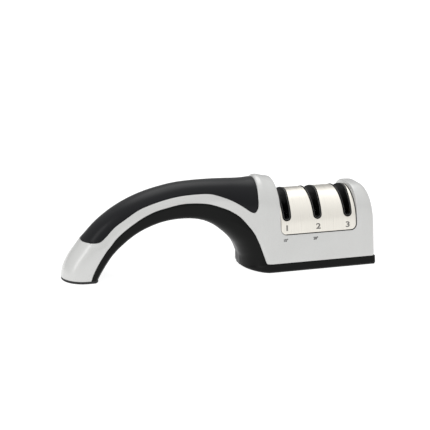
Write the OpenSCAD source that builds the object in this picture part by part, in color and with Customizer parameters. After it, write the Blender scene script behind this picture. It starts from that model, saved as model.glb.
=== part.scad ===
// Three-stage pull-through knife sharpener: an arched handle and a slotted head.
// X runs along the length with the handle tip at -X, -Y is the front, and Z is up.

/* [Body] */
// Length from the handle tip to the end of the head
body_length = 235; // [232:1:240]
// Depth across the foot of the head
body_depth = 60.5; // [60:0.5:62]
// Height of the collar, the highest place
collar_height = 68.5; // [68:0.5:70]
// Wall thickness of the two mouldings
wall = 2; // [1.8:0.1:2.2]
// Height of the black skirt round the head
skirt_height = 6.2; // [5.8:0.2:6.6]

/* [Handle] */
// Half width of the handle in the middle of the arch
handle_half = 15.6; // [15:0.2:16.4]
// Half width of the foot at the handle tip
foot_half = 18; // [17:0.5:18.5]
// Thickness of the rubber grip
grip_thick = 1.3; // [1.1:0.1:1.4]

/* [Head] */
// Height of the steel deck
deck_height = 56.6; // [56:0.2:57.2]
// Thickness of the steel deck plate
plate_thick = 0.9; // [0.7:0.1:0.9]
// Distance from one slot to the next
slot_pitch = 24.1; // [23.9:0.1:24.3]
// Width of a slot in the steel at its round bottom
slot_width = 6.6; // [6.2:0.1:6.8]
// Width of a slot in the steel at the deck
slot_mouth = 8; // [7.6:0.1:8.2]
// How much further a slot opens on one side at the deck
slot_flare = 1.6; // [1.2:0.1:1.8]
// Height of the bottom of a slot
slot_floor = 37.6; // [37:0.2:38.2]
// Width of the black lip inside each slot
slot_lip = 0.9; // [0.7:0.1:1]

/* [Stages] */
// Radius of a honing wheel
wheel_radius = 10.2; // [9.8:0.1:10.4]
// Hone angle of the first stage, on each side of the blade
angle_1 = 15; // [14:1:18]
// Hone angle of the second stage
angle_2 = 20; // [18:1:22]
// Hone angle of the third stage
angle_3 = 20; // [18:1:22]
// Radius of a wheel's axle
axle_radius = 1.5; // [1.3:0.1:1.6]
// Distance a carrier can be pressed down
carrier_travel = 2.5; // [1.5:0.5:3]

/* [Hidden] */

silver = [0.80, 0.80, 0.79];
black = [0.14, 0.14, 0.14];
rubber = [0.10, 0.11, 0.12];
steel = [0.84, 0.83, 0.80];
zinc = [0.66, 0.66, 0.68];
grit = [0.34, 0.34, 0.36];

floor_z = 1.2;
foot_z = 2;
draft = 0.1495;
head_half = body_depth / 2 + draft * floor_z;

// Half width of the handle, part of the way from its middle to the foot
function wide(t) = mix(handle_half, foot_half, t);

// Key sections across the handle, from the foot to the collar. Each one holds four points in the XZ plane:
// the arch underside, the black and silver parting line, the lower edge of the grip and the crest.
// Then come the half width, the draft, the underside radius and the half width of the flat underside.
handle_keys = [
    [[-92, foot_z], [-97.3, foot_z], [-103.8, foot_z], [-117.5, foot_z], wide(1), 0, 3, 13],
    [[-90, 5.6], [-95.4, 7], [-102.5, 8.4], [-116.2, 8.6], wide(0.95), 0, 3, 13],
    [[-86.6, 11], [-91.6, 14], [-99, 17.5], [-112.4, 16.2], wide(0.8), 0, 3, 13],
    [[-82.4, 16.8], [-87, 20.8], [-95.2, 25], [-107, 23.6], wide(0.55), 0, 3, 12.5],
    [[-79.6, 20], [-84.6, 24], [-97.4, 28.6], [-103.3, 28.3], wide(0.42), 0, 3, 12.5],
    [[-79.2, 20.4], [-84.2, 24.4], [-96.4, 28.6], [-102.7, 29], wide(0.42), 0, 3, 12.5],
    [[-77, 22.6], [-82, 26.7], [-90.6, 29.2], [-98.5, 33.6], wide(0.3), 0, 3, 12.4],
    [[-73.2, 25.8], [-78.4, 31], [-86, 32.6], [-93, 39.4], wide(0.17), 0, 3, 12.2],
    [[-68.2, 29.7], [-73, 35.7], [-79.2, 39.4], [-86.5, 44.9], wide(0.08), 0, 3, 12],
    [[-61.8, 33.8], [-66, 40.7], [-71, 45], [-78, 50.8], wide(0.04), 0, 3, 12],
    [[-54.5, 37.2], [-58, 45.5], [-61.5, 50.8], [-68, 56.1], handle_half, 0, 3, 12],
    [[-46.4, 39.9], [-49.3, 49.2], [-51.8, 54.4], [-57, 60.5], handle_half, 0, 3, 12],
    [[-38.5, 41.4], [-39.8, 51.5], [-41, 57.2], [-45, 63.8], handle_half, 0, 3, 12],
    [[-30, 41.9], [-30, 53.2], [-30.5, 58.9], [-32, 66.2], handle_half, 0, 3.2, 12],
    [[-21, 41.2], [-20, 53.2], [-19, 59.5], [-18, 67.1], handle_half, 0, 3.6, 11.5],
    [[-12.8, 39], [-10.5, 52.1], [-8.5, 59.2], [-5, 67.2], handle_half + 0.2, 0, 4.6, 10.5],
    [[-5.6, 35.1], [-2, 49.4], [0, 56.8], [6, 66.9], handle_half + 1.2, 0.01, 6.5, 9],
    [[-0.2, 30.8], [6, 46], [8.6, 53.1], [14, 66.6], handle_half + 3.2, 0.03, 9, 7.5],
    [[5.4, 25.6], [13, 41.2], [15.6, 48.8], [20, 66.6], handle_half + 5.9, 0.06, 12, 6],
    [[10.2, 20.2], [19, 34.4], [20.6, 45.3], [23.6, 66.8], 24, 0.085, 14, 5],
    [[12.4, 17.2], [21.8, 30.7], [23.9, 44.6], [25, 66.9], 25, 0.096, 15, 4.7],
    [[14.4, 13.4], [24, 27], [25.9, 47.5], [25.9, 66.9], 25.8, 0.104, 16, 4.5]
];

// Key sections of the collar, whose underside is the front of the leg, and then the floor
collar_keys = [
    [[16.4, 8], [26.9, 20.2], [27.3, 42], [27.3, 68], 26.6, 0.11, 17, 4],
    [[16.8, 1.2], [29.9, 10.5], [30.6, 38], [30.6, 68.5], 28.6, 0.132, 17, 4],
    [[18.2, 1.2], [31.2, 6.6], [32.2, 35.5], [32.2, 68.2], 29.3, 0.139, 17, 4],
    [[20.8, 1.2], [32.8, skirt_height], [34, 33], [34, 67.8], 29.8, 0.145, 17, 4],
    [[24, 1.2], [34.2, skirt_height], [35.6, 31], [35.6, 67.4], 30.2, 0.148, 17, 4],
    [[28, 1.2], [36, skirt_height], [37.2, 31.4], [37.2, 67.1], head_half, draft, 17, 4],
    [[34, 1.2], [37.8, skirt_height], [38.4, 31.4], [38.4, 66.9], head_half, draft, 17, 4]
];

// Length and height that the key points are written for. The head keeps its length and moves with the
// right end, so the handle takes up a change of length. The height of the arch follows the collar.
drawn_length = -2 * handle_keys[0][3].x;
drawn_neck = handle_keys[len(handle_keys) - 1][0].x;
drawn_height = collar_keys[1][3].y;
head_shift = (body_length - drawn_length) / 2;
neck = drawn_neck + head_shift;
stretch = (body_length / 2 + neck) / (drawn_length / 2 + drawn_neck);
rise = (collar_height - skirt_height) / (drawn_height - skirt_height);
function place_x(x) = x > drawn_neck ? x + head_shift : neck + (x - drawn_neck) * stretch;
function place_z(z) = z > skirt_height ? skirt_height + (z - skirt_height) * rise : z;
function placed(p) = [place_x(p.x), place_z(p.y)];
x_end = body_length / 2;

seam = 0.3;
grip_gap = 0.3;
grip_recess = grip_thick + grip_gap;
silver_corner = 3;
skirt_corner = 1.5;
end_flat = 5;
end_ledge = 0.4;
nose_power = 1.7;

// Deck window: the pocket that the plate lies in, and the opening under it
pocket_left = 42.4 + head_shift;
pocket_right = 102.6 + head_shift;
pocket_base = 27.1;
pocket_depth = 1.3;
plate_gap = 0.4;
open_gap = 0.7;
plate_inset = 0.1;
plate_corner = 4;
pocket_corner = plate_corner + plate_gap;
window_margin = 0.6;
window_base = pocket_base + pocket_corner + 0.1;
inner_roof = deck_height - 3.1;

// Where the grip starts and ends along the crest, and where the leg's own rounding begins, its line begins
// and its flat nose narrows
grip_start = place_x(-102.9);
grip_end = place_x(26.5);
leg_from = place_x(-10);
leg_line_from = place_x(-25);
leg_foot = place_x(16.8);
nose_from = place_x(33);
nose_to = place_x(45);

// Guide block
middle_slot = 71.4 + head_shift;
guide_base = window_base + 0.8;
guide_skin = 2.8;
lip_rise = 0.15;
lip_gap = 0.08;
flare_depth = 7.6;
vane_base = 41.2;
vane_out = 6;
pad_inset = 0.35;
foot_inset = 0.1;

// Working clearances: fixed pins in their holes, and a wheel on its axle
fit = 0.03;
axle_fit = 0.03;

// Wheels and carriers. The cones of a stage cross the blade at the hone radius.
wheel_y = 10.5;
wheel_z = 29.6;
hone_radius = 7.2;
disc_thick = 4;
hub_r = 3.4;
cheek_in = 8.6;
cheek_thick = 1.8;
hub_gap = 0.2;
carrier_half = 19.2;
carrier_floor = 15.8;
carrier_plate = 1.8;
cheek_shoulder = 24;
ear_r = 4.2;
axle_head = 0.5;
axle_head_r = axle_radius + 0.8;
axle_tail = 0.3;
rib = 0.65;
rib_y = 16.5;
rib_width = 3;

// Chassis of the head
frame_floor = 4.7;
frame_plate = 1.8;
frame_wall = 1.6;
frame_half = 21.2;
frame_top = 27;
pressed_gap = 1.3;
rail_top = carrier_floor - carrier_travel - pressed_gap;
bay_half = slot_pitch / 2 - frame_wall / 2;
stop_z = 23.5;
joined = 0.1;
stop_length = 0.55 + joined;
stop_x = bay_half + joined - stop_length / 2;
stop_gap = 0.2;
stop_height = 2;
seat_r = 2.8;
seat_height = 4;
spring_r = 4.5;
spring_wire = 1.1;
post_r = 3.2;
post_height = 7;
frame_posts = [for (x = [middle_slot - 30, middle_slot + 30], y = [-14, 14]) [x, y]];

// Screws and the bosses they hold. A boss is written as X, its lower end and its upper end.
screw_head = 1.3;
housing_head = 2.1;
housing_shank = 1.1;
frame_head = 2.4;
frame_shank = 1.3;
sink = 2.6;
frame_sink = 1.7;
boss_r = 2.9;
pilot_depth = 9;
housing_screw = 12;
frame_screw = 9;
boss_gap = 0.2;
handle_boss = place_x(-31);
front_boss = place_x(31.2);
rear_boss = x_end - 5.5;
boss_split = skirt_height + 0.8;
handle_split = place_z(48.5);
lower_bosses = [
    [handle_boss, place_z(41.9), handle_split],
    [front_boss, floor_z, boss_split],
    [rear_boss, floor_z, boss_split]
];
upper_bosses = [
    [handle_boss, handle_split + boss_gap, place_z(63.6)],
    [front_boss, boss_split + boss_gap, collar_height - 1.2],
    [rear_boss, boss_split + boss_gap, deck_height - 1.4]
];

function mix(a, b, t) = a + (b - a) * t;
function spline(p, q, r, s, t) =
    0.5 * (2 * q + (r - p) * t + (2 * p - 5 * q + 4 * r - s) * t * t + (3 * q - p - 3 * r + s) * t * t * t);

// Roof line of the head to the right of the collar: X, Z and the roof of the cavity below. It drops from
// the collar to the pocket, runs level over the deck and then over the low hump at the right end.
drop_line = [[-3.2, -1.8], [-1.5, -2.3], [-0.6, -3.3], [-0.1, -4.3]];
hump_rise = [[0.1, 1.6], [1.1, 2.1], [5.2, 2.1]];
hump_fall = [
    [-7, 1.8, -0.8], [-4.9, 0.9, -1.8], [-3.1, -0.7, -3.4], [-1.7, -3, -5.6], [-0.7, -6.4, -8.6],
    [0, -11.6, -13.6]
];
corner_turns = [0, 30, 60, 90];
function corner_run(a) = pocket_corner * (1 - cos(a));
head_roof = concat(
    [for (p = drop_line) [pocket_left + p.x, collar_height + p.y, inner_roof]],
    [for (a = corner_turns) [pocket_left + corner_run(a), deck_height, inner_roof]],
    [for (a = corner_turns) [pocket_right - corner_run(90 - a), deck_height, inner_roof]],
    [for (p = hump_rise) [pocket_right + p.x, deck_height + p.y, inner_roof]],
    [for (p = hump_fall) [x_end + p.x, deck_height + p.y, deck_height + p.z]]
);

// Height of the pocket's lower edge at X, with its two round corners
function pocket_edge(x) =
    let (
        past = max(pocket_left + pocket_corner - x, x - pocket_right + pocket_corner, 0),
        run = min(past, pocket_corner)
    )
    pocket_base + pocket_corner - sqrt(pocket_corner * pocket_corner - run * run);

function section(k) = [
    placed(k[0]), placed(k[1]), placed(k[2]), placed(k[3]), k[4], k[5], k[6], k[7], placed(k[3]).y
];
function head_section(h) = [
    [h.x, floor_z], [h.x, skirt_height], [h.x, pocket_edge(h.x)], [h.x, h.y], head_half, draft, 17, 4, h.z
];

// Handle sections are joined by a spline, with one section added between each pair of keys, and two at
// the foot
last_key = len(handle_keys) - 1;
function key(i) = section(handle_keys[min(max(i, 0), last_key)]);
handle_sections = [
    for (i = [0 : last_key], t = i == last_key ? [0] : i < 3 ? [0, 0.35, 0.7] : [0, 0.5])
        t == 0 ? key(i) : spline(key(i - 1), key(i), key(i + 1), key(i + 2), t)
];
sections = concat(
    handle_sections, [for (k = collar_keys) section(k)], [for (h = head_roof) head_section(h)]
);

// The line of the arch and leg, carried on below the floor, from which the leg is rounded
leg_line = concat(
    [for (s = sections) if (s[0].x > leg_line_from && s[0].x < leg_foot + 0.2) s[0]],
    [[leg_foot, -18]]
);
function gap_to(p, a, b) =
    let (t = min(max((p - a) * (b - a) / ((b - a) * (b - a)), 0), 1)) norm(p - mix(a, b, t));
function leg_gap(p) = min([for (i = [0 : len(leg_line) - 2]) gap_to(p, leg_line[i], leg_line[i + 1])]);

// Half width below the crest: a round top, with a flat middle at the right end, that runs into straight,
// drafted sides, at an inward offset
function crown(s, d, inset) =
    let (
        top_half = s[4] - s[5] * s[3].y,
        flat_half = s[3].x > pocket_right ? end_flat : 0,
        lean = atan(s[5]),
        r = (top_half - flat_half) / (cos(lean) - s[5] * (1 - sin(lean))),
        tangent = r * (1 - sin(lean))
    )
    d < tangent
        ? flat_half + sqrt(max(pow(r - inset, 2) - pow(r - d, 2), 0))
        : top_half + s[5] * d - inset / cos(lean);

// Rounding towards the underside: full width above, a flat of its own half width at the arch line
function underside(s, p, along, full, inset) =
    let (
        narrowing = min(1, max(0, (nose_to - s[3].x) / (nose_to - nose_from))),
        flat_half = s[7] * (s[3].x < grip_end ? 1 : narrowing),
        gap = s[3].x < leg_from ? along : leg_gap(p),
        r = s[6],
        depth = min(max((gap - inset) / max(r - inset, 0.5), 0), 1)
    )
    gap >= r || full <= flat_half ? full
    : mix(flat_half - inset, full, pow(max(0, 1 - pow(1 - depth, nose_power)), 1 / nose_power));

// Rounding of the two upright corners at the right end, of the given radius
function end_corner(x, corner, inset) =
    let (run = x - (x_end - corner), r = max(corner - inset, 0))
    run <= 0 ? 0 : r - sqrt(max(r * r - run * run, 0));

// A point on section s, at distance d below the crest along the section's broken line
function on_section(s, d) =
    let (
        top = norm(s[3] - s[2]),
        middle = norm(s[2] - s[1]),
        bottom = norm(s[1] - s[0])
    )
    d <= top ? mix(s[3], s[2], d / top)
    : d <= top + middle ? mix(s[2], s[1], (d - top) / middle)
    : mix(s[1], s[0], min((d - top - middle) / bottom, 1));

function run_to_grip(s) = norm(s[3] - s[2]);
function run_to_seam(s) = run_to_grip(s) + norm(s[2] - s[1]);
function run_to_arch(s) = run_to_seam(s) + norm(s[1] - s[0]);

// A point of the body at distance d below the crest, at an inward offset, pulled back at the right end.
// It is never wider than the drafted side of the head. The silver moulding, with a ledge, is rounder at
// the right end than the skirt.
function body_point(s, d, inset, pull, ledge = 0) =
    let (
        p = on_section(s, d),
        side = head_half - draft * p.y - inset / cos(atan(draft)),
        full = min(side, crown(s, d, inset)),
        corner = ledge > 0 ? silver_corner : skirt_corner,
        half = underside(s, p, run_to_arch(s) - d, full, inset) - end_corner(p.x - pull, corner, inset)
    )
    [p.x - pull - ledge, -half, p.y];

function back(p) = [p.x, -p.y, p.z];
function centre(p) = [p.x, 0, p.z];
// One ring of a shell: the front points, the centre and the front points mirrored to the back
function ring(front, middle) =
    concat(front, [centre(middle)], [for (i = [len(front) - 1 : -1 : 0]) back(front[i])]);

// Share of a pull at the right end: it grows from the pocket to the end
function end_share(s) = pow(max(0, (s[3].x - pocket_right) / (x_end - pocket_right)), 2);
// How far the inner skin stops short of the outer one near the right end
function pulled(s) = wall * end_share(s);
// How far the silver moulding stops short of the black skirt at the right end
function ledge(s) = end_ledge * end_share(s);

// Depth of the recess for the grip or for the plate at section s
function recess(s) =
    s[3].x > grip_start && s[3].x < grip_end ? grip_recess
    : s[3].x > pocket_left - 0.05 && s[3].x < pocket_right + 0.05 ? pocket_depth : 0;

// A closed shell between two skins, each a list of rings. The far end is open or closed by a wall.
module shell(outer, inner, closed) {
    rings = len(outer);
    n = len(outer[0]);
    half = (n - 1) / 2;
    size = rings * n;
    function o(i, j) = i * n + j;
    function q(i, j) = size + i * n + j;
    skins = [
        for (i = [0 : rings - 2], j = [0 : n - 2]) each [
            [o(i, j), o(i, j + 1), o(i + 1, j + 1)], [o(i, j), o(i + 1, j + 1), o(i + 1, j)],
            [q(i, j), q(i + 1, j + 1), q(i, j + 1)], [q(i, j), q(i + 1, j), q(i + 1, j + 1)]
        ]
    ];
    rims = [
        for (i = [0 : rings - 2]) each [
            [o(i, 0), o(i + 1, 0), q(i + 1, 0)], [o(i, 0), q(i + 1, 0), q(i, 0)],
            [o(i, n - 1), q(i + 1, n - 1), o(i + 1, n - 1)], [o(i, n - 1), q(i, n - 1), q(i + 1, n - 1)]
        ]
    ];
    start = [
        for (j = [0 : n - 2]) each [[o(0, j), q(0, j), q(0, j + 1)], [o(0, j), q(0, j + 1), o(0, j + 1)]]
    ];
    m = rings - 1;
    open_end = [
        for (j = [0 : n - 2]) each [[o(m, j), q(m, j + 1), q(m, j)], [o(m, j), o(m, j + 1), q(m, j + 1)]]
    ];
    wall_end = concat(
        [for (j = [0 : half - 3]) each [
            [o(m, j), o(m, j + 1), o(m, n - 2 - j)], [o(m, j), o(m, n - 2 - j), o(m, n - 1 - j)],
            [q(m, j), q(m, n - 2 - j), q(m, j + 1)], [q(m, j), q(m, n - 1 - j), q(m, n - 2 - j)]
        ]],
        [for (j = [[-2, -1, 0], [-2, 0, 2], [0, 1, 2]]) each [
            [o(m, half + j.x), o(m, half + j.y), o(m, half + j.z)],
            [q(m, half + j.x), q(m, half + j.z), q(m, half + j.y)]
        ]],
        [[o(m, 0), o(m, n - 1), q(m, n - 1)], [o(m, 0), q(m, n - 1), q(m, 0)]]
    );
    polyhedron(
        points = concat([for (r = outer) each r], [for (r = inner) each r]),
        faces = concat(skins, rims, start, closed ? wall_end : open_end)
    );
}

// Silver moulding: rows of points from the parting line up to the crest
side_steps = [0.35, 0.7];
crest_steps = [0.2, 0.4, 0.6, 0.8];
function upper_ring(s, inset, pull, roof_drop) =
    let (
        low = run_to_seam(s) - seam,
        edge = run_to_grip(s),
        deep = recess(s) + inset,
        top = deep + roof_drop,
        step = ledge(s),
        front = concat(
            [body_point(s, low, inset, pull, step)],
            [for (t = side_steps) body_point(s, mix(low, edge + 0.8, t), inset, pull, step)],
            [body_point(s, edge + 0.8, inset, pull, step)],
            [body_point(s, edge, deep, pull, step)],
            [for (t = crest_steps) body_point(s, mix(top, edge, pow(1 - t, 2)), deep, pull, step)]
        )
    )
    ring(front, body_point(s, top, deep, pull, step));

module upper_shell() {
    outer = [for (s = sections) upper_ring(s, 0, 0, 0)];
    inner = [
        for (s = sections)
            let (drop = max(0, s[3].y - s[8] - wall - recess(s)))
            upper_ring(s, wall, pulled(s), drop)
    ];
    shell(outer, inner, true);
}

// Black moulding: rows of points from the parting line down to the arch line or the floor
lower_steps = [0, 0.3, 0.56, 0.74, 0.86, 0.93, 0.975, 1];
function lower_ring(s, inset, pull) =
    let (
        low = run_to_arch(s) - inset,
        high = run_to_seam(s),
        front = [for (t = lower_steps) body_point(s, mix(high, low, t), inset, pull)]
    )
    ring(front, body_point(s, low, inset, pull));

function flipped(rings) = [for (r = rings) [for (i = [len(r) - 1 : -1 : 0]) r[i]]];

module lower_shell() {
    outer = [for (s = sections) lower_ring(s, 0, 0)];
    inner = [for (s = sections) lower_ring(s, wall, pulled(s))];
    shell(flipped(outer), flipped(inner), true);
}

grip_steps = [0.12, 0.26, 0.42, 0.6, 0.8];
function grip_ring(s, inset) =
    let (
        edge = run_to_grip(s),
        front = concat(
            [body_point(s, edge, inset, 0)],
            [for (t = grip_steps) body_point(s, mix(inset, edge, pow(1 - t, 2)), inset, 0)]
        )
    )
    ring(front, body_point(s, inset, inset, 0));

module grip() {
    covered = [for (s = sections) if (s[3].x > grip_start && s[3].x < grip_end) s];
    color(rubber) shell(
        [for (s = covered) grip_ring(s, 0)], [for (s = covered) grip_ring(s, grip_thick)], false
    );
}

// Region under a round-topped section of the head at the deck, as Y and Z, above a base height
module saddle(inset, base) {
    lean = atan(draft);
    top_half = head_half - draft * deck_height;
    r = top_half / (cos(lean) - draft * (1 - sin(lean)));
    tangent = [(r - inset) * cos(lean), deck_height - r + (r - inset) * sin(lean)];
    foot = head_half - draft * base - inset / cos(lean);
    intersection() {
        union() {
            polygon([[-foot, base], [foot, base], tangent, [-tangent.x, tangent.y]]);
            translate([0, deck_height - r]) circle(r - inset, $fn = 96);
        }
        translate([-body_depth, base]) square([2 * body_depth, collar_height]);
    }
}

// Sweep a Y and Z region along X
module along_x(from, to) {
    translate([from, 0, 0]) rotate([90, 0, 90]) linear_extrude(to - from) children();
}

// Sweep an X and Z region through the whole depth
module through_depth() {
    translate([0, body_depth, 0]) rotate([90, 0, 0]) linear_extrude(2 * body_depth) children();
}

// Outline of a slot, as X and Z: round at the bottom, widening evenly to its mouth and then flaring on
// the right, which is the side that leads the blade in
module slot_outline(narrowing) {
    r = slot_width / 2 - narrowing;
    z = slot_floor + slot_width / 2;
    mouth = slot_mouth / 2 - narrowing;
    climb = deck_height - z;
    flare_start = climb - flare_depth;
    heights = [0, flare_start, for (t = [1 : 5]) flare_start + flare_depth * t / 4];
    function half(h) = r + (mouth - r) * h / climb;
    function flare(h) = slot_flare * pow(max(0, h - flare_start) / flare_depth, 2);
    translate([0, z]) {
        circle(r, $fn = 48);
        polygon(concat(
            [for (h = heights) [half(h) + flare(h), h]],
            [for (k = [len(heights) - 1 : -1 : 0])
                [-half(heights[k]), heights[k]]]
        ));
    }
}

slot_x = [for (i = [-1 : 1]) middle_slot + i * slot_pitch];
function wheel_angle(i) = [angle_1, angle_2, angle_3][i];

// A self-tapping screw that points up, with its cross-recessed head's lower face at the given place
module screw(place, head_r, shank_r, length) {
    translate(place) difference() {
        union() {
            cylinder(h = screw_head, r = head_r, $fn = 40);
            cylinder(h = length, r = shank_r, $fn = 32);
        }
        for (a = [0, 90]) rotate(a) translate([-head_r * 0.6, -0.3, -1]) cube([head_r * 1.2, 0.6, 1.7]);
    }
}

module upper_housing() {
    color(silver) difference() {
        union() {
            upper_shell();
            for (b = upper_bosses) translate([b.x, 0, b.y]) cylinder(h = b.z - b.y, r = boss_r, $fn = 40);
        }
        translate([pocket_left + window_margin, -body_depth, window_base])
            cube([pocket_right - pocket_left - 2 * window_margin, 2 * body_depth, collar_height]);
        for (b = upper_bosses)
            translate([b.x, 0, b.y - 1]) cylinder(h = pilot_depth + 1, r = housing_shank + fit, $fn = 32);
    }
}

module lower_housing() {
    color(black) difference() {
        union() {
            lower_shell();
            for (b = lower_bosses)
                translate([b.x, 0, b.y + 0.3]) cylinder(h = b.z - b.y - 0.3, r = boss_r, $fn = 40);
            for (p = frame_posts)
                translate([p.x, p.y, floor_z + 0.3])
                    cylinder(h = frame_floor - floor_z - 0.3, r = post_r + 0.8, $fn = 40);
        }
        for (b = lower_bosses) {
            translate([b.x, 0, b.y - 1]) cylinder(h = 1 + sink, r = housing_head + 0.2, $fn = 40);
            translate([b.x, 0, b.y - 1]) cylinder(h = b.z - b.y + 2, r = housing_shank + fit, $fn = 32);
        }
        for (p = frame_posts) translate([p.x, p.y, floor_z - 1]) {
            cylinder(h = 1 + frame_sink, r = frame_head + 0.2, $fn = 40);
            cylinder(h = frame_floor, r = frame_shank + fit, $fn = 32);
        }
    }
}

module deck_plate() {
    left = pocket_left + plate_gap;
    right = pocket_right - open_gap;
    base = pocket_base + open_gap;
    color(steel) difference() {
        intersection() {
            along_x(left, right) difference() {
                saddle(plate_inset, base);
                saddle(plate_inset + plate_thick, base - 1);
            }
            through_depth() union() {
                translate([left, base + plate_corner]) square([right - left, collar_height]);
                translate([left + plate_corner, base])
                    square([right - left - 2 * plate_corner, plate_corner * 2]);
                for (x = [left + plate_corner, right - plate_corner])
                    translate([x, base + plate_corner]) circle(plate_corner, $fn = 48);
            }
        }
        for (i = [0 : 2]) translate([slot_x[i], 0, 0]) through_depth() slot_outline(0);
    }
}

module guide_block() {
    inset = plate_inset + plate_thick + fit;
    left = pocket_left + window_margin + 0.2;
    right = pocket_right - window_margin - 0.2;
    color(black) difference() {
        union() {
            along_x(left, right) saddle(inset, guide_base);
            intersection() {
                along_x(left, right) saddle(plate_inset - lip_rise, guide_base);
                for (i = [0 : 2]) translate([slot_x[i], 0, 0]) through_depth() slot_outline(lip_gap);
            }
        }
        for (i = [0 : 2]) translate([slot_x[i], 0, 0]) through_depth() slot_outline(slot_lip);
        intersection() {
            along_x(left - 1, right + 1) saddle(inset + guide_skin, guide_base - 1);
            union() {
                translate([left - 1, -body_depth, 0]) cube([right - left + 2, 2 * body_depth, vane_base]);
                for (i = [0, 1])
                    translate([slot_x[i] + vane_out, -body_depth, 0])
                        cube([slot_pitch - 2 * vane_out, 2 * body_depth, deck_height]);
            }
        }
    }
}

// Chassis: a floor, four upright walls between and beside the bays, and low side rails
module hone_frame() {
    first = slot_x[0] - slot_pitch / 2;
    last = slot_x[2] + slot_pitch / 2;
    color(zinc) difference() {
        union() {
            translate([first - frame_wall / 2, -frame_half, frame_floor])
                cube([last - first + frame_wall, 2 * frame_half, frame_plate]);
            for (i = [0 : 3])
                translate([first + i * slot_pitch - frame_wall / 2, -frame_half, frame_floor])
                    cube([frame_wall, 2 * frame_half, frame_top - frame_floor]);
            for (side = [-1, 1])
                translate([first, side * (frame_half - frame_wall / 2) - frame_wall / 2, frame_floor])
                    cube([last - first, frame_wall, rail_top - frame_floor]);
            for (x = slot_x, end = [-1, 1], side = [-1, 1])
                translate([x + end * stop_x, side * rib_y, stop_z + stop_gap + stop_height / 2])
                    cube([stop_length, rib_width, stop_height], center = true);
            for (x = slot_x) translate([x, 0, frame_floor]) cylinder(h = seat_height, r = seat_r, $fn = 40);
            for (p = frame_posts)
                translate([p.x, p.y, frame_floor]) cylinder(h = post_height, r = post_r, $fn = 40);
        }
        for (p = frame_posts)
            translate([p.x, p.y, frame_floor - 1])
                cylinder(h = post_height, r = frame_shank + fit, $fn = 32);
    }
}

// Side view of a carrier's cheek, as Y and Z: a plate with two rounded ears for the axles
module cheek() {
    translate([-carrier_half, carrier_floor]) square([2 * carrier_half, cheek_shoulder - carrier_floor]);
    for (side = [-1, 1]) {
        translate([side * wheel_y, wheel_z]) circle(ear_r, $fn = 48);
        translate([side * wheel_y - ear_r, cheek_shoulder - 1])
            square([2 * ear_r, wheel_z - cheek_shoulder + 1]);
    }
}

// Carrier for one stage: two cheeks on a floor, with ribs that run on the walls of the bay
module carrier(i) {
    reach = cheek_in + cheek_thick;
    middle = cheek_in + cheek_thick / 2;
    color(black) translate([slot_x[i], 0, 0]) difference() {
        union() {
            translate([-reach, -carrier_half, carrier_floor])
                cube([2 * reach, 2 * carrier_half, carrier_plate]);
            for (end = [-1, 1]) {
                along_x(end * middle - cheek_thick / 2, end * middle + cheek_thick / 2) cheek();
                from = end > 0 ? middle : -reach - rib;
                for (side = [-1, 1])
                    translate([from, side * rib_y - rib_width / 2, carrier_floor])
                        cube([cheek_thick / 2 + rib, rib_width, stop_z - carrier_floor]);
            }
        }
        for (side = [-1, 1])
            translate([-2 * reach, side * wheel_y, wheel_z]) rotate([0, 90, 0])
                cylinder(h = 4 * reach, r = axle_radius + fit, $fn = 40);
    }
}

// Honing wheel on its axis along X, coned towards the blade: the front wheel faces +X, the rear one -X.
// It is turned from one profile, with its hub and its bore.
module wheel(i, side) {
    slope = tan(wheel_angle(i));
    rim_x = -(wheel_radius - hone_radius) * slope;
    nose_x = (hone_radius - hub_r) * slope;
    hub_half = cheek_in - hub_gap;
    bore = axle_radius + axle_fit;
    color(grit) translate([slot_x[i], side * wheel_y, wheel_z]) rotate([0, side < 0 ? 90 : -90, 0])
        rotate_extrude($fn = 72) polygon([
            [bore, -hub_half], [hub_r, -hub_half], [hub_r, rim_x - disc_thick],
            [wheel_radius, rim_x - disc_thick], [wheel_radius, rim_x], [hub_r, nose_x],
            [hub_r, hub_half], [bore, hub_half]
        ]);
}

// Axle: a pin with a flat head at one end
module axle(i, side) {
    reach = cheek_in + cheek_thick;
    color(zinc) translate([slot_x[i], side * wheel_y, wheel_z]) rotate([0, side < 0 ? 90 : -90, 0]) {
        translate([0, 0, -reach]) cylinder(h = 2 * reach + axle_tail, r = axle_radius, $fn = 40);
        translate([0, 0, -reach - axle_head]) cylinder(h = axle_head, r = axle_head_r, $fn = 40);
    }
}

// Carrier spring: a sleeve of the coil's outer and inner size
module spring(i) {
    base = frame_floor + frame_plate;
    color(steel) translate([slot_x[i], 0, base]) difference() {
        cylinder(h = carrier_floor - base, r = spring_r, $fn = 48);
        translate([0, 0, -1]) cylinder(h = carrier_floor, r = spring_r - spring_wire, $fn = 48);
    }
}

module frame_screws() {
    color(zinc) for (p = frame_posts)
        screw([p.x, p.y, floor_z + frame_sink - screw_head], frame_head, frame_shank, frame_screw);
}

module base_screws() {
    color(zinc) for (i = [1, 2]) let (b = lower_bosses[i])
        screw([b.x, 0, b.y + sink - screw_head], housing_head, housing_shank, housing_screw);
}

module handle_screw() {
    b = lower_bosses[0];
    color(zinc) screw([b.x, 0, b.y + sink - screw_head], housing_head, housing_shank, housing_screw);
}

// Rubber pad under the head, inside the outline of the lower moulding
module base_pad() {
    floor_sections = [for (s = sections) if (s[0].x > 0 && s[0].y < floor_z + 0.01) s];
    edge = [for (s = floor_sections) body_point(s, run_to_arch(s), pad_inset, pad_inset)];
    outline = concat(
        [for (p = edge) [p.x, p.y]],
        [for (i = [len(edge) - 1 : -1 : 0]) [edge[i].x, -edge[i].y]]
    );
    color(rubber) linear_extrude(floor_z) polygon(outline);
}

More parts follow.
